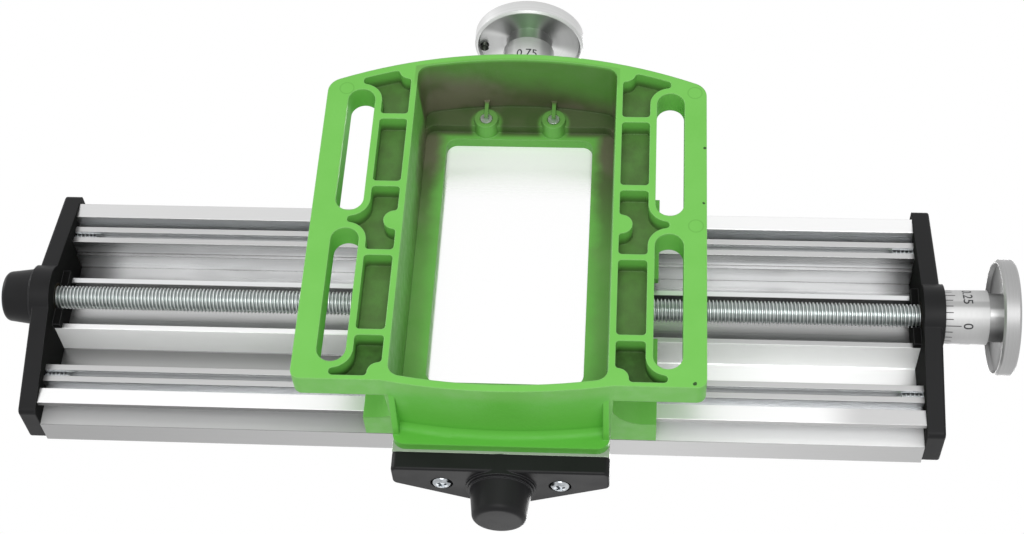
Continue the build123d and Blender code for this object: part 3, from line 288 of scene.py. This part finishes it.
def table_painted_shading(s):
    """Painted light, shade and reflection on the underside of the table, as a grey for each face. A sweep runs
    from the left to the right.
    """
    x, y, z = s.axis(0), s.axis(1), s.axis(2)
    across = s.math("ABSOLUTE", y)
    to_right = s.ramp(x, -55.0, 55.0)
    # Painted shade beside the end plates
    plate_shade_reach = s.math("MAXIMUM", s.ramp(x, -141.0, -153.0), s.ramp(x, 122.0, 134.0))
    cloudy = s.ramp(s.noise((50, 9, 400), 2.0), 0.35, 0.65)

    def sweep(left, right):
        return s.blend(to_right, grey(left), grey(right))

    foot = s.ramp(z, 61.2, 60.9)
    band = s.product(s.ramp(z, 67.8, 68.1), s.ramp(z, 68.7, 68.5))
    web = s.product(s.ramp(z, 75.8, 76.0), s.ramp(z, 76.6, 76.4))
    front_foot = s.product(foot, s.ramp(y, 34.4, 34.9))
    back_foot = s.product(foot, s.ramp(y, -34.4, -34.9))
    back_web = s.product(web, s.ramp(y, -10.0, -10.6))
    back_band = s.product(band, s.ramp(y, -23.8, -24.1))
    back_outer_band = s.product(band, s.ramp(y, -31.8, -32.2))
    channel_lip = s.product(s.ramp(z, 62.9, 62.7), s.ramp(y, 8.2, 8.4), s.ramp(y, 10.6, 10.4))
    screw_ports = s.product(s.ramp(z, 62.5, 62.2), s.ramp(across, 24.0, 24.5), s.ramp(across, 33.0, 32.5))
    front_web = s.product(web, s.ramp(y, 10.1, 10.6))
    front_wall = s.product(s.ramp(y, 10.1, 10.3), s.ramp(y, 10.6, 10.5), s.ramp(z, 76.0, 75.6))
    channel_ceiling = s.product(s.ramp(across, 8.3, 8.2), s.ramp(z, 69.4, 69.2))
    channel_wall = s.product(s.ramp(y, -8.6, -8.5), s.ramp(y, -8.2, -8.3), s.ramp(z, 68.2, 68.0))
    front_outer_band = s.product(band, s.ramp(y, 36.1, 36.5))
    flange_edge = s.product(s.ramp(y, 40.5, 40.7), s.ramp(z, 62.6, 62.5), s.ramp(z, 60.5, 60.7))
    front_side = s.ramp(y, 44.6, 44.9)

    # Painted light and shade: greys for each face, darker beside the end plates, swept from left to right
    clouded_shade = s.blend(cloudy, sweep(150, 122), sweep(184, 156))
    clouded_shade = s.blend(s.math("MULTIPLY", plate_shade_reach, 0.8), clouded_shade, grey(84))
    painted_plate_shade = s.blend(plate_shade_reach, sweep(148, 150), grey(84))
    brightening = s.blend(s.ramp(y, 10.5, 17.5), sweep(134, 246), sweep(170, 250))
    fading = s.blend(s.ramp(y, 37.5, 44.5), sweep(192, 238), sweep(206, 253))
    wall_shine = s.ramp(x, -55.0, 55.0, 1.0, 0.25)
    wall_matt = s.ramp(x, -55.0, 55.0, 0.85, 0.5)
    return [
        (front_foot, s.blend(s.ramp(x, 100.0, 116.0), grey(253), grey(208)), 1.0, 0.3),
        (back_foot, sweep(216, 247), 1.0, 0.3),
        (back_web, clouded_shade, None, None),
        (back_band, painted_plate_shade, None, None),
        (back_outer_band, sweep(106, 92), None, None),
        (channel_lip, sweep(250, 190), None, None),
        (screw_ports, grey(198), None, None),
        (front_web, brightening, 0.9, 0.3),
        (front_wall, grey(255), wall_shine, wall_matt),
        (channel_ceiling, sweep(201, 174), None, None),
        (channel_wall, sweep(146, 110), None, None),
        (front_outer_band, fading, 0.45, 0.45),
        (flange_edge, sweep(120, 176), 0.5, 0.5),
        (front_side, sweep(158, 180), 0.6, 0.4)]


def rail_tones(s):
    """The underside of the rail. Its metal dulls towards both ends, and its front end takes a painted green
    reflection and shade.
    """
    y = s.axis(1)
    under = s.ramp(s.axis(2), 33.0, 32.4)
    front = s.ramp(y, 60.0, 62.0)
    shine = s.math("MULTIPLY", s.ramp(y, -41.0, -24.0), s.ramp(front, 0.0, 1.0, 1.0, 0.3))
    # Painted green reflection and shade at the front end of the underside
    return [(under, s.blend(front, grey(255), colour(172, 180, 168)), shine, 0.16)]


def moulded_plastic(name):
    """Black plastic, darkest on the faces of the long end plates that look at the table, as painted shade, and
    lighter on its edges, as a painted highlight.
    """
    s = Shader(name, Specular_IOR_Level=0.14)
    grain = s.noise((0.35, 0.35, 0.35), 2.0)
    cloud = s.noise((12, 12, 12), 2.0)
    from_middle = s.math("ABSOLUTE", s.math("SUBTRACT", s.axis(0), TABLE_MIDDLE))
    inner = s.math("MULTIPLY", s.ramp(from_middle, 148.3, 148.05), s.ramp(from_middle, 100.0, 101.0))
    body = s.blend(cloud, colour(26, 26, 27), colour(32, 32, 33))
    # Painted shade: near black on the faces of the long end plates that look at the table
    body = s.blend(inner, body, colour(6, 6, 6))
    # Painted highlight: a lighter grey on the edges
    s.put("Base Color", s.blend(s.edges(0.4, 0.75, 0.97), body, colour(84, 84, 86)))
    s.put("Roughness", s.ramp(inner, 0.0, 1.0, s.ramp(cloud, 0.3, 0.7, 0.38, 0.48), 0.9))
    s.surface(grain, 0.012, 0.4)
    return s.mat


def plated(name, dark, light, low, high):
    """Bright zinc, brass or steel with a little tarnish. low and high are its roughness."""
    s = Shader(name, Metallic=1.0)
    cloud = s.noise((2.5, 2.5, 2.5), 4.0, 0.6)
    s.put("Base Color", s.blend(s.ramp(cloud, 0.3, 0.7), dark, light))
    s.put("Roughness", s.ramp(cloud, 0.3, 0.7, low, high))
    s.surface(s.noise((0.5, 0.5, 0.5), 2.0), 0.01, 0.15)
    return s.mat


def off_axis(s, along, centre):
    """Distance to the side of an axis and above it, and the radius, in millimetres."""
    aside, above = s.axis(1 - along), s.math("SUBTRACT", s.axis(2), centre)
    return aside, above, s.length(aside, above)


def turned(name, along, centre, tone, painted_reflections, low=0.32, high=0.42, web=None):
    """Turned aluminium with fine rings about an axis, along is 0 for X and 1 for Y. A sector is a painted
    reflection: an angle from straight down, a half width and the colour that the faces inside the rim take there.
    In a wheel they take it on the side towards the dial, and web is the place along the axis where that side ends."""
    s = Shader(name, Metallic=0.6)
    aside, above, radius = off_axis(s, along, centre)
    rings = {0: s.math("MULTIPLY", radius, 5.0), 1: s.math("MULTIPLY", s.axis(along), 5.0)}
    vector = s.add("ShaderNodeCombineXYZ", rings).outputs[0]
    cut = s.add("ShaderNodeTexNoise", {"Vector": vector, "Scale": 1.0, "Detail": 3.0}).outputs["Fac"]
    tint = s.blend(s.ramp(cut, 0.3, 0.7), grey(tone - 5), grey(tone + 5))
    within = s.ramp(radius, 18.9, 18.5)
    if web:
        near_side = s.ramp(s.axis(along), *web)
        plain = s.blend(s.ramp(cut, 0.3, 0.7), grey(190), grey(202))
        tint = s.blend(s.product(within, s.math("SUBTRACT", 1.0, near_side)), tint, plain)
        within = s.product(within, near_side)
    # Painted reflections and highlights, sector by sector
    for angle, width, shade in painted_reflections:
        sine, cosine = math.sin(math.radians(angle)), math.cos(math.radians(angle))
        towards = s.math("SUBTRACT", s.math("MULTIPLY", aside, sine), s.math("MULTIPLY", above, cosine))
        towards = s.math("DIVIDE", towards, s.math("MAXIMUM", radius, 0.1))
        lobe = s.ramp(towards, math.cos(math.radians(width)), math.cos(math.radians(width * 0.3)))
        tint = s.blend(s.math("MULTIPLY", lobe, within), tint, shade)
    s.put("Base Color", tint)
    s.put("Roughness", s.ramp(cut, 0.3, 0.7, low, high))
    s.surface(cut, 0.004, 0.2)
    return s.mat


def threaded(name, along, centre):
    """Plated thread along an axis, with painted shade in its valleys."""
    s = Shader(name, Metallic=1.0)
    radius = off_axis(s, along, centre)[2]
    cloud = s.noise((6, 6, 6), 3.0)
    crest = s.blend(cloud, colour(238, 241, 241), colour(247, 249, 249))
    # Painted shade: darker valleys between the light crests
    s.put("Base Color", s.blend(s.ramp(radius, 3.35, 3.95), colour(158, 165, 164), crest))
    s.put("Roughness", s.ramp(cloud, 0.3, 0.7, 0.31, 0.4))
    s.surface(s.noise((0.8, 0.8, 0.8), 2.0), 0.004, 0.05)
    return s.mat


def ink(name):
    s = Shader(name, Roughness=0.6)
    s.put("Base Color", s.blend(s.noise((0.6, 0.6, 0.6), 2.0), colour(24, 24, 26), colour(52, 52, 55)))
    return s.mat


base_green = casting_paint("base_green", True)
saddle_green = casting_paint("saddle_green", False)
table_metal = extrusion("table_aluminium", (400, 1.6, 1.6), table_painted_shading)
rail_metal = extrusion("rail_aluminium", (1.6, 400, 1.6), rail_tones)
plastic = moulded_plastic("black_moulding")
zinc = plated("fastener_zinc", colour(150, 154, 158), colour(196, 200, 203), 0.16, 0.28)
brass = plated("machined_brass", colour(186, 150, 84), colour(214, 182, 112), 0.24, 0.36)
# A lighter copy of the fastener zinc: painted light for screws that sit in shade
lightened_zinc = plated("lightened_zinc", colour(214, 217, 220), colour(236, 238, 240), 0.3, 0.4)
# Painted shade: a near black metal that lines the knob holes
shaded_hole_lining = plated("shaded_hole_metal", colour(44, 46, 44), colour(84, 86, 80), 0.3, 0.45)
dark_bronze = plated("sintered_bronze", colour(40, 36, 30), colour(66, 58, 46), 0.45, 0.6)
long_thread_zinc = threaded("long_thread_zinc", 0, LONG_AXIS)
cross_thread_zinc = threaded("cross_thread_zinc", 1, CROSS_AXIS)
# Painted reflections on the long wheel. Its grey of 166 is painted shade, darker than the 210 of the cross wheel
# of the same alloy
long_wheel_painted_reflections = (
    (-60, 40, grey(140)), (-105, 45, grey(118)), (20, 12, grey(214)), (95, 45, grey(105)), (-150, 45, grey(140)))
long_wheel_metal = turned(
    "long_turned_aluminium", 0, LONG_AXIS, 166, long_wheel_painted_reflections, web=(164.4, 164.0))
# Painted highlight and reflections on the long dial
long_dial_painted_reflections = ((3, 9, grey(172)), (24, 14, grey(206)), (70, 26, grey(192)))
long_dial_metal = turned("long_dial_aluminium", 0, LONG_AXIS, 198, long_dial_painted_reflections, 0.55, 0.65)
# Painted reflections on the cross wheel, the first one green from the base
cross_wheel_painted_reflections = (
    (0, 34, colour(146, 166, 144)), (48, 26, grey(128)), (-46, 26, grey(140)), (80, 34, grey(150)),
    (-90, 30, grey(176)))
cross_wheel_metal = turned(
    "cross_turned_aluminium", 1, CROSS_AXIS, 210, cross_wheel_painted_reflections, web=(-104.6, -104.2))
# Painted reflections on the cross dial
cross_dial_painted_reflections = ((-52, 22, grey(168)), (50, 24, grey(180)))
cross_dial_metal = turned("cross_dial_aluminium", 1, CROSS_AXIS, 216, cross_dial_painted_reflections)
dial_ink = ink("dial_ink")

finishes = {
    "base_casting": base_green, "saddle_casting": saddle_green, "x_table": table_metal, "y_rail": rail_metal,
    "x_dial": long_dial_metal, "x_handwheel": long_wheel_metal, "y_dial": cross_dial_metal,
    "y_handwheel": cross_wheel_metal, "x_leadscrew": long_thread_zinc, "y_leadscrew": cross_thread_zinc,
    "x_left_bush": dark_bronze, "x_right_bush": dark_bronze, "y_front_bush": dark_bronze,
    "y_back_bush": dark_bronze, "rail_screws": lightened_zinc,
}
by_slot = {"black_plastic": plastic, "brass": brass, "zinc_fastener": zinc}
slot_of = {part["node"]: part["material_slot"] for part in frame["record"]["subparts"]}


def dress(piece, material):
    piece.data.materials.clear()
    piece.data.materials.append(material)


for name, node in nodes.items():
    dress(node, finishes.get(name) or by_slot[slot_of[name]])


def clean_mesh(name, points, faces):
    """A mesh with its doubled points merged and its faces turned outward."""
    mesh = bpy.data.meshes.new(name)
    mesh.from_pydata(points, [], faces)
    work = bmesh.new()
    work.from_mesh(mesh)
    bmesh.ops.remove_doubles(work, verts=work.verts, dist=1e-7)
    bmesh.ops.recalc_face_normals(work, faces=work.faces)
    work.to_mesh(mesh)
    work.free()
    return mesh


def piece_from(name, points, faces, body, material, smooth):
    """A piece that rides on a body. Edges sharper than smooth, in degrees, stay sharp."""
    mesh = clean_mesh(name, points, faces)
    if smooth:
        mesh.shade_smooth()
        mesh.set_sharp_from_angle(angle=math.radians(smooth))
    piece = bpy.data.objects.new(name, mesh)
    scene.collection.objects.link(piece)
    dress(piece, material)
    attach(piece, body)
    return piece


def spot(origin, outward, side):
    """Places about an axis that starts at a point in millimetres and points outward. The angle runs from
    side to the cross product of outward and side."""
    start, out, aside = Vector(origin) * MM, Vector(outward), Vector(side)
    across = out.cross(aside)

    def place(along, angle, radius):
        offset = (aside * math.cos(angle) + across * math.sin(angle)) * (radius * MM)
        return tuple(start + out * (along * MM) + offset)
    return place


def join(points, faces, more, sides):
    """Adds the points and faces of one form to those of another."""
    start = len(points)
    points += more
    faces += [tuple(corner + start for corner in side) for side in sides]


def turn(profile, place, segments):
    """Points and faces of a turned form. profile is (along, radius) in millimetres."""
    points, faces = [], []
    for along, radius in profile:
        points += [place(along, 2 * math.pi * step / segments, radius) for step in range(segments)]
    for row in range(len(profile) - 1):
        near, far = row * segments, (row + 1) * segments
        for step in range(segments):
            after = (step + 1) % segments
            faces.append((near + step, near + after, far + after, far + step))
    return points, faces


def thread(place, start, end, crest, root, pitch, segments):
    """A helical thread between two places along its axis."""
    steps = ((0.0, root), (0.12, root), (0.44, crest), (0.56, crest), (0.88, root))
    rows = int((end - start) / pitch) + 2
    points, faces = [], []
    for turn_number in range(-1, rows):
        for phase, radius in steps:
            for step in range(segments):
                along = start + (turn_number + phase + step / segments) * pitch
                points.append(place(min(max(along, start), end), 2 * math.pi * step / segments, radius))
    count = (rows + 1) * len(steps)
    for row in range(count - 1):
        for step in range(segments):
            after = (step + 1) % segments
            shift = 0 if after else len(steps)
            low, high = row + shift, row + 1 + shift
            if high < count:
                faces.append((row * segments + step, low * segments + after, high * segments + after,
                              (row + 1) * segments + step))
    return points, faces


def leadscrew(name, body, node, place, length, wheel_first, material):
    """Threaded bar with a tail under the end cap and a tapped drive end in the handwheel."""
    points, faces = thread(place, 0.1, length - 0.1, LEADSCREW_CREST, LEADSCREW_ROOT, LEAD, 32)
    for first in (True, False):
        edge, sign = (0.0, -1) if first else (length, 1)
        at_wheel = first == wheel_first
        reach = WHEEL_TAIL if at_wheel else CAP_TAIL
        profile = [(-0.1, 3.9), (-0.1, JOURNAL_RADIUS), (reach - 0.4, JOURNAL_RADIUS), (reach, 2.6)]
        if at_wheel:
            profile += [(reach, TAPPED_RADIUS), (reach - TAPPED_DEPTH, TAPPED_RADIUS), (reach - TAPPED_DEPTH, 0.0)]
        else:
            profile += [(reach, 0.0)]
        join(points, faces, *turn([(edge + sign * along, radius) for along, radius in profile], place, 48))
    piece = piece_from(name, points, faces, body, material, 50.0)
    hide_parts(node)


long_bar = spot((TABLE_LEFT, 0, LONG_AXIS), (1, 0, 0), (0, 1, 0))
cross_bar = spot((0, RAIL_BACK, CROSS_AXIS), (0, 1, 0), (0, 0, 1))
leadscrew("long_leadscrew_thread", "x_screw", "x_leadscrew", long_bar, LONG_LENGTH, False, long_thread_zinc)
leadscrew("cross_leadscrew_thread", "y_screw", "y_leadscrew", cross_bar, CROSS_LENGTH, True, cross_thread_zinc)


def cut_out(form, tool):
    """Points and faces of one solid with another cut out of it."""
    body, cutter = [bpy.data.objects.new("solid", clean_mesh("solid", *shape)) for shape in (form, tool)]
    for piece in (body, cutter):
        scene.collection.objects.link(piece)
    cut = body.modifiers.new("cut", "BOOLEAN")
    cut.object = cutter
    cut.operation = "DIFFERENCE"
    cut.solver = "EXACT"
    mesh = bpy.data.meshes.new_from_object(body.evaluated_get(bpy.context.evaluated_depsgraph_get()))
    points = [tuple(vertex.co) for vertex in mesh.vertices]
    faces = [tuple(face.vertices) for face in mesh.polygons]
    for piece in (body, cutter):
        bpy.data.objects.remove(piece)
    return points, faces


def cross_head(place, radius, height):
    """Pan head with a cross recess, standing on along = 0."""
    profile = [(0.0, 0.0), (0.0, radius - 0.1), (0.1, radius), (height * 0.45, radius),
               (height * 0.72, radius * 0.93), (height * 0.9, radius * 0.78),
               (height, radius * 0.55), (height, 0.0)]
    corners = []
    for level, reach, half in ((height + 0.4, radius * 0.66, 0.5), (height - 1.7, radius * 0.26, 0.36)):
        for quarter in range(4):
            for a, b in ((reach, half), (half, half), (half, reach)):
                angle = math.atan2(b, a) + quarter * math.pi / 2 + 0.5
                corners.append(place(level, angle, math.hypot(a, b)))
    sides = [(i, (i + 1) % 12, (i + 1) % 12 + 12, i + 12) for i in range(12)]
    recess = corners, [tuple(range(12)), tuple(range(12, 24))] + sides
    return cut_out(turn(profile, place, 40), recess)


def screws(name, body, node, spots, material, head, height, crest, root, pitch, length):
    """Pan head screws with a cross recess. They stand at spots and reach a length below the head."""
    tip = [(-length + 1.7, root), (-length + 0.3, root * 0.45), (-length, 0.0)]
    points, faces = [], []
    for place in spots:
        join(points, faces, *cross_head(place, head, height))
        join(points, faces, *thread(place, -length + 1.6, -0.05, crest, root, pitch, 20))
        join(points, faces, *turn(tip, place, 20))
    piece = piece_from(name, points, faces, body, material, 35.0)
    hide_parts(node)


def plate_screws(name, body, node, seat, out, apart, level, material):
    """Two screws in an end plate, apart to each side of its middle at seat."""
    along_x = out[0] == 0
    spots = []
    for offset in (-apart, apart):
        origin = (offset, seat, level) if along_x else (seat, offset, level)
        spots.append(spot(origin, out, (1, 0, 0) if along_x else (0, 1, 0)))
    screws(name, body, node, spots, material, **PLATE_SCREW)


plate_screws("long_left_plate_screws", "table", "x_left_plate_screws",
             TABLE_LEFT - PLATE_SCREW_SEAT, (-1, 0, 0), 28.45, 65.0, lightened_zinc)
plate_screws("long_right_plate_screws", "table", "x_right_plate_screws",
             TABLE_RIGHT + PLATE_SCREW_SEAT, (1, 0, 0), 28.45, 65.0, lightened_zinc)
plate_screws("cross_front_plate_screws", "base", "y_front_plate_screws",
             RAIL_FRONT + PLATE_SCREW_SEAT, (0, 1, 0), 18.5, 40.5, zinc)
plate_screws("cross_back_plate_screws", "base", "y_back_plate_screws",
             RAIL_BACK - PLATE_SCREW_SEAT, (0, -1, 0), 18.5, 40.5, zinc)
long_seat = spot((TABLE_RIGHT + WHEEL_SCREW_SEAT, 0, LONG_AXIS), (1, 0, 0), (0, 1, 0))
cross_seat = spot((0, RAIL_BACK - WHEEL_SCREW_SEAT, CROSS_AXIS), (0, -1, 0), (1, 0, 0))
screws("long_wheel_screw", "x_screw", "x_wheel_screw", [long_seat], zinc, **WHEEL_SCREW)
screws("cross_wheel_screw", "y_screw", "y_wheel_screw", [cross_seat], zinc, **WHEEL_SCREW)


def knob_insert(name, body, centre, out, side, angle):
    """Tapped lining of the knob hole in a handwheel rim, at an angle about the wheel's centre."""
    profile = [(-0.3, 1.63), (-0.3, 1.5)]
    for ridge in range(6):
        profile += [(-0.5 - 0.7 * ridge, 1.5), (-0.85 - 0.7 * ridge, 1.2)]
    profile += [(-4.9, 1.5), (-5.0, 0.0)]
    angle = math.radians(angle)
    aside, above = KNOB_CIRCLE * math.cos(angle), KNOB_CIRCLE * math.sin(angle)
    origin = Vector(centre) + Vector(side) * aside + Vector((0, 0, above))
    points, faces = turn(profile, spot(origin, out, side), 24)
    piece_from(name, points, faces, body, shaded_hole_lining, 35.0)


knob_insert("long_knob_insert", "x_screw", (TABLE_RIGHT + KNOB_SEAT, 0, LONG_AXIS), (-1, 0, 0), (0, 1, 0), 100)
knob_insert("cross_knob_insert", "y_screw", (0, RAIL_BACK - KNOB_SEAT, CROSS_AXIS), (0, 1, 0), (1, 0, 0), 177)


def numeral(text, height):
    """Points and faces of a flat text, in millimetres, in narrow strips so that it bends well."""
    curve = bpy.data.curves.new("numeral", "FONT")
    curve.body = text
    curve.align_x = "CENTER"
    curve.align_y = "CENTER"
    curve.extrude = 0.004
    curve.offset = 0.004
    letters = bpy.data.objects.new("numeral", curve)
    scene.collection.objects.link(letters)
    mesh = bpy.data.meshes.new_from_object(letters.evaluated_get(bpy.context.evaluated_depsgraph_get()))
    bpy.data.objects.remove(letters)
    low, high = min(v.co.y for v in mesh.vertices), max(v.co.y for v in mesh.vertices)
    factor = height / (high - low)
    work = bmesh.new()
    work.from_mesh(mesh)
    bmesh.ops.scale(work, vec=(factor, factor, factor), verts=work.verts)
    bmesh.ops.translate(work, vec=(0, -factor * (low + high) / 2, 0), verts=work.verts)
    bmesh.ops.triangulate(work, faces=work.faces)
    for step in range(-16, 17):
        everything = work.verts[:] + work.edges[:] + work.faces[:]
        bmesh.ops.bisect_plane(work, geom=everything, plane_co=(step * 0.3, 0, 0), plane_no=(1, 0, 0), dist=1e-5)
    work.verts.index_update()
    points = [tuple(v.co) for v in work.verts]
    faces = [tuple(v.index for v in face.verts) for face in work.faces]
    work.free()
    return points, faces


def dial_marks(name, body, start, out, side, first):
    """Engraved lines and numbers on a dial. start is the plate side of the dial, out points to the wheel,
    first is the angle of the zero line from straight down."""
    origin, out, side, down = Vector(start), Vector(out), Vector(side), Vector((0, 0, -1))

    def place(along, angle, lift):
        radius = DIAL_RADIUS + DIAL_FLARE * along / DIAL_LENGTH + lift
        return tuple((origin + out * along + (down * math.cos(angle) + side * math.sin(angle)) * radius) * MM)

    points, faces = [], []
    half = 0.14 / DIAL_RADIUS
    box = [(3, 2, 1, 0), (4, 5, 6, 7)] + [(a, (a + 1) % 4, (a + 1) % 4 + 4, a + 4) for a in range(4)]
    for mark in range(DIAL_LINES):
        angle = math.radians(first - DIAL_STEP * mark)
        length = 5.3 if mark == 0 else 3.5 if mark % 5 == 0 else 2.6
        outline = ((0.1, -half), (length, -half), (length, half), (0.1, half))
        corners = [place(along, angle + turn_by, lift) for lift in (-0.05, 0.03) for along, turn_by in outline]
        join(points, faces, corners, box)
    for mark, text in ((0, "0"), (5, "0.25"), (10, "0.5"), (15, "0.75"), (20, "1.0")):
        angle = math.radians(first - DIAL_STEP * mark)
        shape, sides = numeral(text, 3.2)
        bent = [place(7.6 + up_by, angle + right_by / 9.1, 0.01 + lift) for right_by, up_by, lift in shape]
        join(points, faces, bent, sides)
    piece_from(name, points, faces, body, dial_ink, 0)


dial_marks("long_dial_marks", "x_screw", (TABLE_RIGHT + DIAL_SEAT, 0, LONG_AXIS), (1, 0, 0), (0, 1, 0), 51.5)
dial_marks("cross_dial_marks", "y_screw", (0, RAIL_BACK - DIAL_SEAT, CROSS_AXIS), (0, -1, 0), (1, 0, 0), 216.0)

# Camera, solved from straight edges of the table, rail and base
camera_data = bpy.data.cameras.new("camera")
camera_data.sensor_fit = "HORIZONTAL"
camera_data.sensor_width = 36.0
camera_data.lens = 66.895
camera_data.clip_start = 0.01
camera_data.clip_end = 20.0
camera = bpy.data.objects.new("camera", camera_data)
scene.collection.objects.link(camera)
eye = (0.0422234, 0.3436898, -0.4916873)
right = Vector((0.9974936, -0.0544245, 0.0452151))
up = Vector((-0.020743, -0.8358806, -0.5485192))
back = Vector((0.0676473, 0.5462065, -0.8349145))
camera.matrix_world = Matrix.Translation(eye) @ Matrix((right, up, back)).transposed().to_4x4()
scene.camera = camera


def lamp(name, place, target, size, power):
    data = bpy.data.lights.new(name, "AREA")
    data.shape = "DISK"
    data.size = size
    data.energy = power
    light = bpy.data.objects.new(name, data)
    scene.collection.objects.link(light)
    light.location = place
    light.rotation_euler = (Vector(target) - Vector(place)).to_track_quat("-Z", "Y").to_euler()


lamp("below", (0.02, 0.45, -1.0), (0, 0, 0.03), 0.8, 7.0)
lamp("front", (-0.08, 0.66, 1.05), (0, 0, 0.04), 0.6, 1.0)
lamp("left", (-0.9, -0.4, -0.1), (0, 0, 0.04), 0.3, 2.5)
lamp("above", (0.3, -0.5, 1.1), (0, 0, 0.05), 0.8, 10.0)

# White background for the camera and for metal, plain soft light for everything else
world = bpy.data.worlds.new("studio")
world.use_nodes = True
scene.world = world
tree = world.node_tree
tree.nodes.clear()


def either(first, second):
    node = tree.nodes.new("ShaderNodeMath")
    node.operation = "MAXIMUM"
    tree.links.new(first, node.inputs[0])
    tree.links.new(second, node.inputs[1])
    return node.outputs[0]


def background(strength):
    node = tree.nodes.new("ShaderNodeBackground")
    node.inputs["Color"].default_value = (1.0, 1.0, 1.0, 1.0)
    node.inputs["Strength"].default_value = strength
    return node.outputs[0]


rays = tree.nodes.new("ShaderNodeLightPath").outputs
seen_white = either(either(rays["Is Camera Ray"], rays["Is Glossy Ray"]), rays["Is Transmission Ray"])
choose = tree.nodes.new("ShaderNodeMixShader")
tree.links.new(seen_white, choose.inputs[0])
tree.links.new(background(0.6), choose.inputs[1])
tree.links.new(background(1.0), choose.inputs[2])
result = tree.nodes.new("ShaderNodeOutputWorld")
tree.links.new(choose.outputs[0], result.inputs["Surface"])

# Pale floor under the base. Its underside is clear, because the camera looks up at the base
floor_mesh = bpy.data.meshes.new("floor")
floor_mesh.from_pydata([(-3, -3, 0), (3, -3, 0), (3, 3, 0), (-3, 3, 0)], [], [(0, 1, 2, 3)])
floor = bpy.data.objects.new("floor", floor_mesh)
floor.location.z = -0.0006
scene.collection.objects.link(floor)
floor.visible_diffuse = False
floor.visible_glossy = False
floor.visible_transmission = False
floor.visible_shadow = False
s = Shader("pale_floor", Roughness=0.9, Specular_IOR_Level=0.1)
s.put("Base Color", s.blend(s.noise((60, 60, 60), 2.0), colour(240, 240, 240), colour(244, 244, 244)))
clear = s.add("ShaderNodeBsdfTransparent").outputs[0]
underside = s.add("ShaderNodeNewGeometry").outputs["Backfacing"]
through = s.add("ShaderNodeMixShader", {0: underside, 1: s.bsdf.outputs[0], 2: clear})
s.plug(s.out.inputs[0], through.outputs[0])
dress(floor, s.mat)
